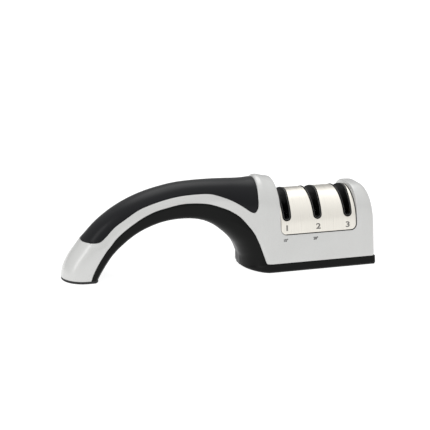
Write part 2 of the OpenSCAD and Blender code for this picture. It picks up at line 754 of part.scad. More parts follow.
// Rubber pad under the tip of the handle, in the outline of the foot
module tip_pad() {
    foot = sections[0];
    steps = [1, 0.985, 0.95, 0.88, 0.7, 0.5, 0.36, 0.24, 0.14, 0.06, 0.015];
    low = run_to_arch(foot) - foot_inset;
    edge = [for (t = steps) body_point(foot, mix(foot_inset, low, t), foot_inset, 0)];
    outline = concat(
        [for (p = edge) [p.x, p.y]],
        [[foot[3].x + foot_inset, 0]],
        [for (i = [len(edge) - 1 : -1 : 0]) [edge[i].x, -edge[i].y]]
    );
    color(rubber) linear_extrude(foot_z) polygon(outline);
}

upper_housing();
lower_housing();
grip();
deck_plate();
guide_block();
hone_frame();
carrier(0);  // carrier_1
carrier(1);  // carrier_2
carrier(2);  // carrier_3
wheel(0, -1);  // wheel_1_front
wheel(0, 1);  // wheel_1_rear
wheel(1, -1);  // wheel_2_front
wheel(1, 1);  // wheel_2_rear
wheel(2, -1);  // wheel_3_front
wheel(2, 1);  // wheel_3_rear
axle(0, -1);  // axle_1_front
axle(0, 1);  // axle_1_rear
axle(1, -1);  // axle_2_front
axle(1, 1);  // axle_2_rear
axle(2, -1);  // axle_3_front
axle(2, 1);  // axle_3_rear
spring(0);  // spring_1
spring(1);  // spring_2
spring(2);  // spring_3
frame_screws();
base_screws();
handle_screw();
base_pad();
tip_pad();
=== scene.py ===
"""Pull-through knife sharpener: skins, deck plate, pads, coils, marks, materials, light and camera."""

import math

import bmesh
import bpy
import numpy as np
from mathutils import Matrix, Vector


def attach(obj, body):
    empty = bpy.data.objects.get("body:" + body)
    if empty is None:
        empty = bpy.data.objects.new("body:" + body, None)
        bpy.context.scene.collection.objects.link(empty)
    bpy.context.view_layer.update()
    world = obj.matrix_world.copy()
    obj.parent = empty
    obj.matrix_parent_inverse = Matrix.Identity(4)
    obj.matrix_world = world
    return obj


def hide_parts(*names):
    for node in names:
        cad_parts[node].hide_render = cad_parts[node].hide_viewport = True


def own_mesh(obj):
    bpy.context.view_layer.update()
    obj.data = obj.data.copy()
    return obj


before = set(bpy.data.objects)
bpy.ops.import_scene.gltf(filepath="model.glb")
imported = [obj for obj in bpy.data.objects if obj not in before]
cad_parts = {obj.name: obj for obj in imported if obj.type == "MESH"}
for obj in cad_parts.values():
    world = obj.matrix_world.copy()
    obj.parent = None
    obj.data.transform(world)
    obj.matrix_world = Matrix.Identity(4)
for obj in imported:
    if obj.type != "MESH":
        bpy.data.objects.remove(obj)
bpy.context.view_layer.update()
MM = 0.001
ROOT = "housing"

# Sizes in millimetres, which follow the solids. Walls, grip and its recess, and the parting line:
WALL = 2.0
GRIP_THICK = 1.3
GRIP_RECESS = 1.6
SEAM = 0.3
# Heights of the skirt's lower edge, the handle's foot, the parting line at the head, deck and roof inside
FLOOR_Z = 1.2
FOOT_Z = 2.0
SKIRT = 6.2
DECK = 56.6
INNER_ROOF = 53.5
# Head: slope of its drafted sides and the angle of it, depth at the foot, half depth at z = 0, right end
DRAFT = 0.1495
LEAN = math.atan(DRAFT)
BODY_DEPTH = 60.5
HEAD_HALF = BODY_DEPTH / 2 + DRAFT * FLOOR_Z
X_END = 117.5
SILVER_CORNER = 3.0
SKIRT_CORNER = 1.5
END_FLAT = 5.0
END_LEDGE = 0.4
# Round underside over the leg: power of its curve, X at which its flat part has faded out and length of the
# fading, radius and flat half width at the head
NOSE_POWER = 1.7
NOSE_TO = 45.0
NOSE_RUN = 12.0
HEAD_R = 17.0
HEAD_FLAT = 4.0
# Line of the arch and leg: its first X, the X from which sections are rounded from it, and its foot
LEG_LINE_FROM = -25.0
LEG_FROM = -10.0
LEG_FOOT = 16.8
# Pocket for the deck plate, the window under it and the plate itself, with its gap at the left (0.4 in the
# solids) and at its other edges
POCKET_LEFT = 42.4
POCKET_RIGHT = 102.6
POCKET_BASE = 27.1
POCKET_DEPTH = 1.3
POCKET_CORNER = 4.4
WINDOW_BASE = 31.6
WINDOW_INSET = 0.5
PLATE_GAP = 0.15
OPEN_GAP = 0.7
PLATE_INSET = 0.1
PLATE_THICK = 0.9
PLATE_CORNER = 4.0
# Slots: their places, width low down and at the deck, extra flare on the right and its depth, bottom, and the
# radius and centre of the round bottom
SLOT_X = [47.3, 71.4, 95.5]
SLOT_WIDTH = 6.6
SLOT_MOUTH = 8.0
SLOT_FLARE = 1.6
FLARE_DEPTH = 7.6
SLOT_FLOOR = 37.6
SLOT_R = SLOT_WIDTH / 2
SLOT_MIDDLE = SLOT_FLOOR + SLOT_R
# Grip: its two ends, how far its crest sinks at the collar, and the way from its end to the collar's first key
GRIP_START = -102.9
GRIP_END = 26.5
GRIP_SINK = 1.1
COLLAR_GAP = 1.4
# How far the pads stay inside the outline
PAD_INSET = 0.35
FOOT_INSET = 0.1

# Radii of rounded edges: at the parting line, at the rim of a recess, on the grip, plate and guide block
SEAM_EDGE = 0.3
RIM_EDGE = 0.4
GRIP_EDGE = 0.6
PLATE_EDGE = 0.3
GUIDE_EDGE = 0.4
# Width of the band over a recess in which the silver turns inwards
LIP_BAND = {"plain": 0.6, "grip": 0.35, "pocket": 0.6}
# Distance to a recess at a section that borders none, out of reach of the rounding
FAR = 9.0

# Key sections: arch point, parting line, grip edge and crest as X and Z, then half width, draft,
# underside radius and flat half width
HANDLE_KEYS = np.array([
    [-92, FOOT_Z, -97.3, FOOT_Z, -103.8, FOOT_Z, -117.5, FOOT_Z, 18, 0, 3, 13],
    [-90, 5.6, -95.4, 7, -102.5, 8.4, -116.2, 8.6, 17.88, 0, 3, 13],
    [-86.6, 11, -91.6, 14, -99, 17.5, -112.4, 16.2, 17.52, 0, 3, 13],
    [-82.4, 16.8, -87, 20.8, -95.2, 25, -107, 23.6, 16.92, 0, 3, 12.5],
    [-79.6, 20, -84.6, 24, -97.4, 28.6, -103.3, 28.3, 16.6, 0, 3, 12.5],
    [-79.2, 20.4, -84.2, 24.4, -96.4, 28.6, -102.7, 29, 16.6, 0, 3, 12.5],
    [-77, 22.6, -82, 26.7, -90.6, 29.2, -98.5, 33.6, 16.32, 0, 3, 12.4],
    [-73.2, 25.8, -78.4, 31, -86, 32.6, -93, 39.4, 16, 0, 3, 12.2],
    [-68.2, 29.7, -73, 35.7, -79.2, 39.4, -86.5, 44.9, 15.8, 0, 3, 12],
    [-61.8, 33.8, -66, 40.7, -71, 45, -78, 50.8, 15.7, 0, 3, 12],
    [-54.5, 37.2, -58, 45.5, -61.5, 50.8, -68, 56.1, 15.6, 0, 3, 12],
    [-46.4, 39.9, -49.3, 49.2, -51.8, 54.4, -57, 60.5, 15.6, 0, 3, 12],
    [-38.5, 41.4, -39.8, 51.5, -41, 57.2, -45, 63.8, 15.6, 0, 3, 12],
    [-30, 41.9, -30, 53.2, -30.5, 58.9, -32, 66.2, 15.6, 0, 3.2, 12],
    [-21, 41.2, -20, 53.2, -19, 59.5, -18, 67.1, 15.6, 0, 3.6, 11.5],
    [-12.8, 39, -10.5, 52.1, -8.5, 59.2, -5, 67.2, 15.8, 0, 4.6, 10.5],
    [-5.6, 35.1, -2, 49.4, 0, 56.8, 6, 66.9, 16.8, 0.01, 6.5, 9],
    [-0.2, 30.8, 6, 46, 8.6, 53.1, 14, 66.6, 18.8, 0.03, 9, 7.5],
    [5.4, 25.6, 13, 41.2, 15.6, 48.8, 20, 66.6, 21.5, 0.06, 12, 6],
    [10.2, 20.2, 19, 34.4, 20.6, 45.3, 23.6, 66.8, 24, 0.085, 14, 5],
    [12.4, 17.2, 21.8, 30.7, 23.9, 44.6, 25, 66.9, 25, 0.096, 15, 4.7],
    [14.4, 13.4, 24, 27, 25.9, 47.5, 26.6, 66.9, 25.8, 0.104, 16, 4.5],
])
COLLAR_KEYS = np.array([
    [16.4, 8, 26.9, 20.2, 27.3, 42, 28.5, 68.15, 26.6, 0.11, 17, 4],
    [16.8, 1.2, 29.9, 10.5, 30.6, 38, 30.6, 68.5, 28.6, 0.132, 17, 4],
    [18.2, 1.2, 31.2, 6.6, 32.2, 35.5, 32.2, 68.2, 29.3, 0.139, 17, 4],
    [20.8, 1.2, 32.8, 6.2, 34, 33, 34, 67.8, 29.8, 0.145, 17, 4],
    [24, 1.2, 34.2, 6.2, 35.6, 31, 35.6, 67.4, 30.2, 0.148, 17, 4],
    [28, 1.2, 36, 6.2, 37.2, 31.4, 37.2, 67.1, HEAD_HALF, DRAFT, 17, 4],
    [34, 1.2, 37.8, 6.2, 38.4, 31.4, 38.4, 66.9, HEAD_HALF, DRAFT, 17, 4],
])
# Roof lines beside the deck, as X and Z, and the roof of the cavity under the hump
COLLAR_ROOF = np.array([[38.4, 66.9], [39.2, 66.7], [40.9, 66.2], [41.8, 65.2], [42.3, 64.2]])
BUMP_ROOF = np.array([
    [102.7, 58.2], [103.7, 58.7], [107.8, 58.7], [110.5, 58.4], [112.6, 57.5], [114.4, 55.9],
    [115.8, 53.6], [116.8, 50.2], [117.5, 45],
])
BUMP_CAVITY = np.array([
    [102.7, 53.5], [107.8, 53.5], [110.5, 55.8], [112.6, 54.8], [114.4, 53.2], [115.8, 51], [116.8, 48],
    [117.5, 43],
])
# From the last key of the handle to the first of the collar: share of the way, and height of the grip's or
# the silver's edge there. The grip ends between the third and the fourth.
GRIP_CORNER = ((0, 47.5), (0.25, 49.4), (0.45, 54), (0.46, 54), (0.5, 53), (0.58, 51), (0.7, 48.5), (0.85, 45))


def spline(keys, i, t):
    """Point at t between key i and key i + 1 of a smooth curve through all the keys."""
    last = len(keys) - 1
    p, q, r, s = (keys[min(max(k, 0), last)] for k in (i - 1, i, i + 1, i + 2))
    return 0.5 * (2 * q + (r - p) * t + (2 * p - 5 * q + 4 * r - s) * t * t + (3 * q - p - 3 * r + s) * t**3)


def through(keys, steps):
    """Points of the curve through all the keys, with the given steps between two keys."""
    rows = [spline(keys, i, k / steps) for i in range(len(keys) - 1) for k in range(steps)]
    return rows + [keys[-1]]


def pocket_edge(x):
    """Height of the pocket's lower edge, with its two round corners."""
    run = max(POCKET_LEFT + POCKET_CORNER - x, x - (POCKET_RIGHT - POCKET_CORNER), 0)
    run = min(run, POCKET_CORNER)
    return POCKET_BASE + POCKET_CORNER - math.sqrt(POCKET_CORNER**2 - run * run)


class Section:
    """One section of the body, with its points a, b, g and t on the arch, parting line, grip edge and crest.
    kind is plain, grip or pocket, rim the distance to a recess that it borders, roof the cavity's roof, and
    sink how far the grip's crest is lowered."""

    def __init__(self, row, kind="plain", rim=FAR, roof=None, sink=0.0):
        self.a, self.b, self.g, self.t = (np.array(row[k:k + 2], float) for k in (0, 2, 4, 6))
        self.half, self.draft, self.r, self.flat = row[8:12]
        self.kind, self.rim, self.sink = kind, rim, sink
        self.roof = self.t[1] if roof is None else roof
        self.grip = np.linalg.norm(self.t - self.g)
        self.parting = self.grip + np.linalg.norm(self.g - self.b)
        self.arch = self.parting + np.linalg.norm(self.b - self.a)
        self.recess = {"plain": 0.0, "grip": GRIP_RECESS, "pocket": POCKET_DEPTH}[kind]
        self.share = max(0.0, (self.t[0] - POCKET_RIGHT) / (X_END - POCKET_RIGHT)) ** 2

    def at(self, d):
        """Points in the XZ plane at distances d below the crest."""
        d = np.clip(d, 0, self.arch)[:, None]
        top = self.t + (self.g - self.t) * (d / self.grip)
        mid = self.g + (self.b - self.g) * ((d - self.grip) / (self.parting - self.grip))
        low = self.b + (self.a - self.b) * ((d - self.parting) / (self.arch - self.parting))
        return np.where(d <= self.grip, top, np.where(d <= self.parting, mid, low))

    def crown(self, d, inset):
        """Half widths at distances d: a round top that runs into straight, drafted sides."""
        flat = END_FLAT if self.t[0] > POCKET_RIGHT + 0.05 else 0.0
        top = self.half - self.draft * self.t[1]
        lean = math.atan(self.draft)
        r = (top - flat) / (math.cos(lean) - self.draft * (1 - math.sin(lean)))
        arc = flat + np.sqrt(np.maximum((r - inset) ** 2 - (r - d) ** 2, 0))
        side = top + self.draft * d - inset / math.cos(lean)
        return np.where(d < r * (1 - math.sin(lean)), arc, side)

    def points(self, d, inset=0.0, pull=0.0, ledge=0.0, corner=SILVER_CORNER):
        """Front points at distances d below the crest, at an inward offset."""
        d = np.asarray(d, float)
        inset = np.broadcast_to(np.asarray(inset, float), d.shape)
        p = self.at(d)
        full = np.minimum(HEAD_HALF - DRAFT * p[:, 1] - inset / math.cos(LEAN), self.crown(d, inset))
        flat = self.flat * (1 if self.t[0] < GRIP_END else min(1, max(0, (NOSE_TO - self.t[0]) / NOSE_RUN)))
        gap = self.arch - d if self.t[0] < LEG_FROM else leg_gap(p)
        depth = np.clip((gap - inset) / np.maximum(self.r - inset, 0.5), 0, 1)
        nosed = (1 - (1 - depth) ** NOSE_POWER) ** (1 / NOSE_POWER)
        inner = flat - inset
        half = np.where((gap >= self.r) | (full <= flat), full, inner + (full - inner) * nosed)
        run = p[:, 0] - pull - (X_END - corner)
        r = np.maximum(corner - inset, 0)
        half = half - np.where(run > 0, r - np.sqrt(np.maximum(r * r - run * run, 0)), 0)
        return np.stack([p[:, 0] - pull - ledge, -half, p[:, 1]], axis=1)


def leg_gap(p):
    """Distance from points in the XZ plane to the line of the arch and the leg."""
    a, b = LEG_LINE[:-1], LEG_LINE[1:]
    ab = b - a
    t = np.clip(((p[:, None] - a) * ab).sum(2) / (ab * ab).sum(1), 0, 1)
    return np.linalg.norm(p[:, None] - (a + ab * t[:, :, None]), axis=2).min(axis=1)


# The line of the arch and leg, carried on below the floor, from which the leg is rounded
coarse = through(HANDLE_KEYS, 2) + list(COLLAR_KEYS)
LEG_LINE = np.array([r[:2] for r in coarse if LEG_LINE_FROM < r[0] < LEG_FOOT + 0.2] + [[LEG_FOOT, -18]])


def head_row(x, z):
    """Key of a section of the head with its crest at X and Z."""
    return np.array([x, FLOOR_Z, x, SKIRT, x, pocket_edge(x), x, z, HEAD_HALF, DRAFT, HEAD_R, HEAD_FLAT])


def body_sections():
    """All sections from the handle tip to the right end, with their recesses and rims."""
    out = []
    for i in range(len(HANDLE_KEYS) - 1):
        steps = 10 if i < 6 else 6
        for k in range(steps):
            row = spline(HANDLE_KEYS, i, k / steps)
            out.append(Section(row, "grip" if row[6] > GRIP_START else "plain", abs(row[6] - GRIP_START)))
    last, first = HANDLE_KEYS[-1], COLLAR_KEYS[0]
    ends = GRIP_CORNER[3][0]
    for t, edge in GRIP_CORNER:
        row = last + (first - last) * t
        row[5] = edge
        if t < ends:
            out.append(Section(row, "grip", sink=GRIP_SINK * t))
        else:
            out.append(Section(row, "plain", COLLAR_GAP * (t - ends)))
    out += [Section(r) for r in through(COLLAR_KEYS, 4)[:-1]]
    start, end = COLLAR_ROOF[0, 0], COLLAR_ROOF[-1, 0]
    for x, z in through(COLLAR_ROOF, 5):
        roof = z + (INNER_ROOF - z) * min(1, x - start)
        out.append(Section(head_row(x, z), "plain", max(0, end - x), roof))
    corner = [POCKET_CORNER * (1 - math.cos(math.radians(a))) for a in range(0, 91, 10)]
    middle = list(np.linspace(POCKET_LEFT + POCKET_CORNER, POCKET_RIGHT - POCKET_CORNER, 16))[1:-1]
    xs = [POCKET_LEFT + c for c in corner] + middle + [POCKET_RIGHT - c for c in reversed(corner)]
    out += [Section(head_row(x, DECK), "pocket", roof=INNER_ROOF) for x in xs]
    start = BUMP_ROOF[0, 0]
    for x, z in through(BUMP_ROOF, 5):
        out.append(Section(head_row(x, z), "plain", max(0, x - start), float(np.interp(x, *BUMP_CAVITY.T))))
    return out


SECTIONS = body_sections()


def rounded(gap, radius):
    """Inward offset of an edge rounded with the given radius, at distance gap from that edge."""
    gap = np.clip(gap, 0, radius)
    return radius - np.sqrt(np.maximum(radius * radius - (radius - gap) ** 2, 0))


def silver_rows(s, inset, pull, drop):
    """Points of the silver moulding at section s, from the parting line up to the crest."""
    edge, low = s.grip, s.parting - SEAM
    lip = LIP_BAND[s.kind]
    step = END_LEDGE * s.share
    side = low + (edge + lip - low) * np.linspace(0, 1, 17)
    side_inset = inset + (rounded(low - side, SEAM_EDGE) if inset == 0 else 0 * side)
    rim = rounded(s.rim, RIM_EDGE) if inset == 0 and s.kind == "plain" else 0.0
    share = np.array([1, 0.66, 0.36, 0.14, 0])
    lip_d = edge + lip * share
    lip_inset = inset + (rounded(lip * share, lip * 0.8) if s.recess and inset == 0 else rim * (1 - share))
    deep = s.recess + inset + rim
    top = deep + drop
    crest = top + (edge - top) * (1 - np.linspace(0, 1, 27)[1:-1]) ** 2
    d = np.concatenate([side, lip_d[1:], [edge], crest, [top]])
    offset = np.concatenate([side_inset, lip_inset[1:], [deep], np.full(len(crest) + 1, deep)])
    return s.points(d, offset, pull, step)


def lower_rows(s, inset, pull):
    """Points of the black moulding at section s, from the parting line round to the middle of the underside."""
    low, high = s.arch - inset, s.parting
    r = min(s.r, (low - high) * 0.8)
    straight = high + (low - r - high) * np.linspace(0, 1, 8)[:-1]
    bend = low - r * (1 - np.cos(np.linspace(math.pi / 2, 0, 15)))
    d = np.concatenate([straight, bend])
    offset = inset + (rounded(d - high, SEAM_EDGE) if inset == 0 else 0)
    p = s.points(d, offset, pull, 0, SKIRT_CORNER)
    under = [p[-1] * [1, k, 1] for k in (0.8, 0.55, 0.28, 0)]
    return np.vstack([p, under])


def both_sides(front):
    """Front points from the edge to the centre line, then their mirror image."""
    front = np.array(front)
    front[-1, 1] = 0
    return np.vstack([front, front[-2::-1] * [1, -1, 1]])


def closed_end(rings):
    """Rings that close the right end with a flat wall."""
    return rings + [rings[-1] * [1, k, 1] for k in (0.97, 0.6, 0.25, 0)]


def add_mesh(name, verts, faces, material, angle=32):
    """A smooth mesh, written in millimetres, that rides on the housing."""
    mesh = bpy.data.meshes.new(name)
    mesh.from_pydata([tuple(float(c) * MM for c in v) for v in verts], [], faces)
    ob = bpy.data.objects.new(name, mesh)
    bpy.context.scene.collection.objects.link(ob)
    clean(mesh)
    mesh.materials.append(material)
    mesh.shade_smooth()
    mesh.set_sharp_from_angle(angle=math.radians(angle))
    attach(ob, ROOT)
    return ob


def clean(mesh):
    """Join points that coincide, drop faces of no area and turn all faces outwards."""
    bm = bmesh.new()
    bm.from_mesh(mesh)
    bmesh.ops.remove_doubles(bm, verts=bm.verts, dist=0.002 * MM)
    bmesh.ops.dissolve_degenerate(bm, edges=bm.edges, dist=0.0005 * MM)
    bmesh.ops.recalc_face_normals(bm, faces=bm.faces)
    bm.to_mesh(mesh)
    bm.free()
    mesh.update()


def shell_mesh(name, outer, inner, material, keep=None, seal_last=True, angle=32):
    """A closed shell between two grids of points. keep(i, j) says whether a cell is there: 1 for yes, 0 for
    a hole with walls, 2 for a cell of no width. seal_last puts a wall round the last row too."""
    outer, inner = np.array(outer), np.array(inner)
    n, m = outer.shape[:2]
    cell = [[1 if keep is None else keep(i, j) for j in range(m - 1)] for i in range(n - 1)]
    verts = np.concatenate([outer.reshape(-1, 3), inner.reshape(-1, 3)])

    def state(i, j):
        if i == n - 1 and not seal_last:
            return 2
        return cell[i][j] if 0 <= i < n - 1 and 0 <= j < m - 1 else 0

    faces = []
    size = n * m
    for i in range(n - 1):
        for j in range(m - 1):
            if cell[i][j] != 1:
                continue
            a, b, c, d = i * m + j, i * m + j + 1, (i + 1) * m + j + 1, (i + 1) * m + j
            faces += [(a, b, c, d), (size + a, size + d, size + c, size + b)]
            for p, q, k, l in ((a, b, i - 1, j), (b, c, i, j + 1), (c, d, i + 1, j), (d, a, i, j - 1)):
                if state(k, l) == 0:
                    faces.append((q, p, size + p, size + q))
    return add_mesh(name, verts, faces, material, angle)


# Materials


def nodes_of(name, color, rough, metal=0.0, **inputs):
    """A new material, its node tree and its shader, with constants on the named inputs."""
    m = bpy.data.materials.new(name)
    m.use_nodes = True
    b = m.node_tree.nodes["Principled BSDF"]
    b.inputs["Base Color"].default_value = (*color, 1)
    b.inputs["Roughness"].default_value = rough
    b.inputs["Metallic"].default_value = metal
    for key, value in inputs.items():
        b.inputs[key.replace("_", " ")].default_value = value
    return m, m.node_tree, b


def texture(nt, scale, stretch=(1, 1, 1), detail=3.0, kind="ShaderNodeTexNoise"):
    """Value of a texture in the object's own coordinates."""
    coord = nt.nodes.new("ShaderNodeTexCoord")
    mapping = nt.nodes.new("ShaderNodeMapping")
    mapping.inputs["Scale"].default_value = stretch
    tex = nt.nodes.new(kind)
    tex.inputs["Scale"].default_value = scale
    if "Detail" in tex.inputs:
        tex.inputs["Detail"].default_value = detail
    nt.links.new(coord.outputs["Object"], mapping.inputs["Vector"])
    nt.links.new(mapping.outputs["Vector"], tex.inputs["Vector"])
    return tex.outputs["Fac"] if "Fac" in tex.outputs else tex.outputs["Distance"]


def ramp(nt, source, low, high, start=0.35, end=0.65):
    """Colour between low and high, over the part of the source from start to end."""
    r = nt.nodes.new("ShaderNodeValToRGB")
    r.color_ramp.elements[0].position, r.color_ramp.elements[1].position = start, end
    r.color_ramp.elements[0].color = (*low, 1)
    r.color_ramp.elements[1].color = (*high, 1)
    nt.links.new(source, r.inputs["Fac"])
    return r.outputs["Color"]


def vary(nt, source, target, low, high):
    """Drive an input between low and high by a texture's value."""
    v = nt.nodes.new("ShaderNodeMapRange")
    v.inputs["From Min"].default_value, v.inputs["From Max"].default_value = 0.3, 0.7
    v.inputs["To Min"].default_value, v.inputs["To Max"].default_value = low, high
    nt.links.new(source, v.inputs["Value"])
    nt.links.new(v.outputs["Result"], target)


def bump(nt, b, source, strength, distance):
    """Bump of the shader's surface by a texture's value."""
    n = nt.nodes.new("ShaderNodeBump")
    n.inputs["Strength"].default_value = strength
    n.inputs["Distance"].default_value = distance
    nt.links.new(source, n.inputs["Height"])
    nt.links.new(n.outputs["Normal"], b.inputs["Normal"])


def shades(color, spread):
    """A darker and a lighter shade of a colour."""
    return [tuple(c * k for c in color) for k in (1 - spread, 1 + spread)]


def plastic(name, color, rough, grain, depth, spread=0.06, metal=0.0, **inputs):
    """Moulded plastic: fine grain, slow drift of tone and of gloss."""
    m, nt, b = nodes_of(name, color, rough, metal, **inputs)
    fine = texture(nt, grain)
    broad = texture(nt, 45, detail=2)
    nt.links.new(ramp(nt, broad, *shades(color, spread)), b.inputs["Base Color"])
    vary(nt, fine, b.inputs["Roughness"], rough * 0.88, rough * 1.12)
    bump(nt, b, fine, 0.25, depth * MM)
    return m


silver = plastic(
    "silver_moulding", (0.575, 0.577, 0.566), 0.3, 5200, 0.012, 0.015,
    metal=0.2, Coat_Weight=0.45, Coat_Roughness=0.25,
)
black = plastic("black_moulding", (0.0025, 0.0028, 0.0025), 0.32, 2600, 0.05, 0.12, Specular_IOR_Level=0.14)
rubber = plastic("soft_grip", (0.001, 0.0013, 0.0026), 0.28, 6000, 0.02, 0.1, Specular_IOR_Level=0.23)
inner = plastic("inner_plastic", (0.003, 0.003, 0.003), 0.42, 2200, 0.03, 0.1, Specular_IOR_Level=0.1)
guide = plastic("guide_plastic", (0.003, 0.003, 0.003), 0.4, 2200, 0.03, 0.1, Specular_IOR_Level=0.08)
lip = plastic("lip_edge", (0.004, 0.004, 0.004), 0.25, 2200, 0.02, 0.1, Specular_IOR_Level=0.9)
pad = plastic("pad_rubber", (0.012, 0.012, 0.012), 0.75, 3800, 0.06, 0.15)
ink = plastic("mark_ink", (0.01, 0.01, 0.01), 0.5, 5000, 0.01, 0.1, Specular_IOR_Level=0.2)


def brushed(name, color, rough, stretch, scale, spread, depth, **inputs):
    """Bare metal with fine grain, which a stretch above 1 narrows along that axis, into lines."""
    m, nt, b = nodes_of(name, color, rough, 1.0, **inputs)
    lines = texture(nt, scale, stretch, 4)
    nt.links.new(ramp(nt, lines, *shades(color, spread), 0.3, 0.7), b.inputs["Base Color"])
    vary(nt, lines, b.inputs["Roughness"], rough * 0.8, rough * 1.2)
    bump(nt, b, lines, 0.2, depth * MM)
    return m


EVEN = (1, 1, 1)
NARROW_IN_X = (60, 1, 1)
steel = brushed(
    "deck_steel", (0.825, 0.796, 0.73), 0.34, NARROW_IN_X, 45, 0.05, 0.02,
    Anisotropic=0.6, Anisotropic_Rotation=0.25,
)
numeral = brushed("numeral_steel", (0.2, 0.195, 0.185), 0.32, NARROW_IN_X, 45, 0.05, 0.02)
chassis = brushed("chassis_metal", (0.55, 0.55, 0.56), 0.45, EVEN, 900, 0.08, 0.03)
hardware = brushed("hardware", (0.7, 0.7, 0.71), 0.3, EVEN, 1500, 0.05, 0.02)
wire = brushed("spring_steel", (0.6, 0.6, 0.6), 0.28, (1, 1, 8), 700, 0.08, 0.02)


def grit(name, color, spread):
    """Abrasive surface: grains in a bond."""
    m, nt, b = nodes_of(name, color, 0.7)
    cells = texture(nt, 2600, kind="ShaderNodeTexVoronoi")
    nt.links.new(ramp(nt, cells, *shades(color, spread), 0.1, 0.7), b.inputs["Base Color"])
    bump(nt, b, cells, 0.6, 0.08 * MM)
    return m


abrasive = grit("abrasive", (0.2, 0.2, 0.21), 0.5)
polishing = grit("polishing", (0.5, 0.38, 0.22), 0.3)


# Silver and black mouldings


def pulled(s):
    """How far the inner skin stops short of the outer one near the right end."""
    return WALL * s.share


def roof_drop(s):
    """Extra depth of the inner skin's crest below the wall."""
    return max(0.0, s.t[1] - s.roof - WALL - s.recess)


silver_outer = closed_end([both_sides(silver_rows(s, 0.0, 0.0, 0.0)) for s in SECTIONS])
silver_inner = closed_end([both_sides(silver_rows(s, WALL, pulled(s), roof_drop(s))) for s in SECTIONS])
WINDOW = (POCKET_LEFT + WINDOW_INSET, POCKET_RIGHT - WINDOW_INSET)


def silver_cell(i, j):
    """Whether a cell of the silver moulding is there: the window under the plate is open."""
    a, b = silver_outer[i][j], silver_outer[i + 1][j + 1]
    inside = WINDOW[0] < a[0] < WINDOW[1] and WINDOW[0] < b[0] < WINDOW[1]
    return 0 if inside and min(a[2], b[2]) > WINDOW_BASE else 1


upper = shell_mesh("silver_body", silver_outer, silver_inner, silver, silver_cell, seal_last=False)
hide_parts("upper_housing")

lower = shell_mesh(
    "black_body",
    closed_end([both_sides(lower_rows(s, 0.0, 0.0)) for s in SECTIONS]),
    closed_end([both_sides(lower_rows(s, WALL, pulled(s))) for s in SECTIONS]),
    black,
    seal_last=False,
)
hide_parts("lower_housing")

# Rubber grip, with rounded edges. Distances from its lower edge over the rounding:
GRIP_RIM = np.array([0, 0.1, 0.25, 0.45, 0.7])


def grip_rows(s, inner_skin):
    """Points of the grip from its lower edge to the crest, closer together over the rounded edge."""
    top = GRIP_THICK if inner_skin else float(rounded(s.rim, GRIP_EDGE)) + s.sink
    rest = top + (s.grip - top) * (1 - np.linspace(0, 1, 34)) ** 2
    rest = np.append(rest[rest < s.grip - 0.8], top)
    rest = np.interp(np.linspace(0, 1, 28), np.linspace(0, 1, len(rest)), rest)
    d = np.concatenate([s.grip - GRIP_RIM, rest])
    return s.points(d, top + (0 if inner_skin else rounded(s.grip - d, GRIP_EDGE) * (1 - top / 2)))


covered = [s for s in SECTIONS if s.kind == "grip"]
covered[-2].rim, covered[-1].rim = 0.35, 0.1
grip = shell_mesh(
    "rubber_grip",
    [both_sides(grip_rows(s, False)) for s in covered],
    [both_sides(grip_rows(s, True)) for s in covered],
    rubber,
)
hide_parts("grip")

# Steel deck plate: a bent sheet with three slots, on a grid of rows across and columns along X
TOP_HALF = HEAD_HALF - DRAFT * DECK
DECK_R = TOP_HALF / (math.cos(LEAN) - DRAFT * (1 - math.sin(LEAN)))


def saddle(z, inset):
    """Front point of the deck as Y and Z: on the outer surface at height z, moved in by inset."""
    centre = DECK - DECK_R
    if z > centre + DECK_R * math.sin(LEAN):
        turn = math.acos(min(1, (z - centre) / DECK_R))
        return -(DECK_R - inset) * math.sin(turn), centre + (DECK_R - inset) * math.cos(turn)
    return -(HEAD_HALF - DRAFT * z - inset * math.cos(LEAN)), z - inset * math.sin(LEAN)


def slot_side(side, z):
    """Distance from the middle of a slot to its left (side -1) or right side at height z."""
    if z <= SLOT_FLOOR:
        return 0.0
    if z < SLOT_MIDDLE:
        return math.sqrt(max(SLOT_R * SLOT_R - (SLOT_MIDDLE - z) ** 2, 0))
    flare = SLOT_FLARE * max(0, (z - DECK + FLARE_DEPTH) / FLARE_DEPTH) ** 2
    straight = SLOT_R + (SLOT_MOUTH / 2 - SLOT_R) * (z - SLOT_MIDDLE) / (DECK - SLOT_MIDDLE)
    return straight + (flare if side > 0 else 0)


def to_slot(x, z):
    """Distance from a point of the plate to the nearest slot."""
    if z < SLOT_MIDDLE:
        return min(math.hypot(x - s, z - SLOT_MIDDLE) - SLOT_R for s in SLOT_X)
    return min(max(s - slot_side(-1, z) - x, x - s - slot_side(1, z)) for s in SLOT_X)


PLATE_L = POCKET_LEFT + PLATE_GAP
PLATE_R = POCKET_RIGHT - OPEN_GAP
PLATE_B = POCKET_BASE + OPEN_GAP


def plate_side(z):
    """How far the plate's end is drawn in at height z by its round corner."""
    run = max(PLATE_B + PLATE_CORNER - z, 0)
    return PLATE_CORNER - math.sqrt(max(PLATE_CORNER**2 - run * run, 0))


def to_outline(x, z):
    """Distance from a point of the plate to its outline."""
    side = min(x - PLATE_L, PLATE_R - x)
    low = z - PLATE_B
    if side < PLATE_CORNER and low < PLATE_CORNER:
        return PLATE_CORNER - math.hypot(PLATE_CORNER - side, PLATE_CORNER - low)
    return min(side, low)


# Distances from an edge of the plate at which the rows and columns over its rounding lie, and the most they
# may take of a narrow strip's width
EDGE_STEPS = (0, 0.06, 0.14, 0.24, 0.35)
STEP_SHARES = (0, 0.12, 0.24, 0.34, 0.44)


